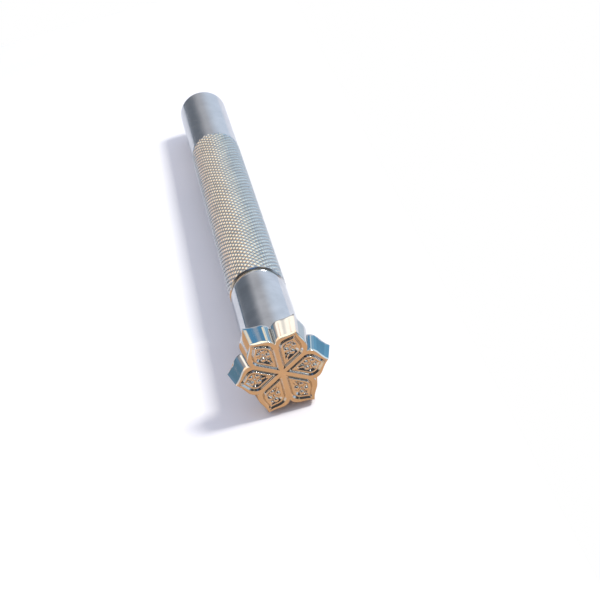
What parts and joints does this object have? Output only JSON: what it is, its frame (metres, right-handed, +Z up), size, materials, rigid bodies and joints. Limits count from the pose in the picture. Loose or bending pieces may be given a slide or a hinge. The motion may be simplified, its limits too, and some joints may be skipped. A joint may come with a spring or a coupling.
{
  "type": "leather stamping tool",
  "caption": "Leather stamping tool: flower-shaped relief die on a smooth collar, screwed to a knurled steel handle bar with a smooth striking end",
  "frame": {"origin": "the centre of the stamping face, on the tool's axis", "axes": "+Y runs along the tool's axis from the stamping face to the striking end, -Y is the way the stamping face looks, and +Z points up through the valley between two petals, with the tool lying on its two lower petals and the rim of its striking end"},
  "size_m": [0.0164, 0.11, 0.0142],
  "materials": {
    "plated_bar": "bright chrome plate over a fine diamond knurl; mirror-smooth at the striking end",
    "stud_steel": "plain cut steel thread",
    "plated_ring": "bright plate",
    "plated_collar": "mirror-bright chrome plate, faint turning marks",
    "plated_die": "mirror-bright plate over a cast relief"
  },
  "bodies": {
    "handle": {"handle_bar": "plated_bar", "threaded_stud": "stud_steel"},
    "ring": {"seat_ring": "plated_ring"},
    "head": {"collar": "plated_collar", "stamp_die": "plated_die"}
  },
  "joints": [
    {"name": "head_advance", "type": "slide", "parent": "handle", "child": "ring", "axis": [0, -1, 0], "range_m": [0, 0.008]},
    {"name": "head_turn", "type": "hinge", "parent": "ring", "child": "head", "pos_m": [0, 0, 0], "axis": [0, -1, 0], "range_deg": [0, 2880]}
  ],
  "couplings": [
    {"joint": "head_turn", "follows": "head_advance", "rad_per_m": 6283.2}
  ]
}
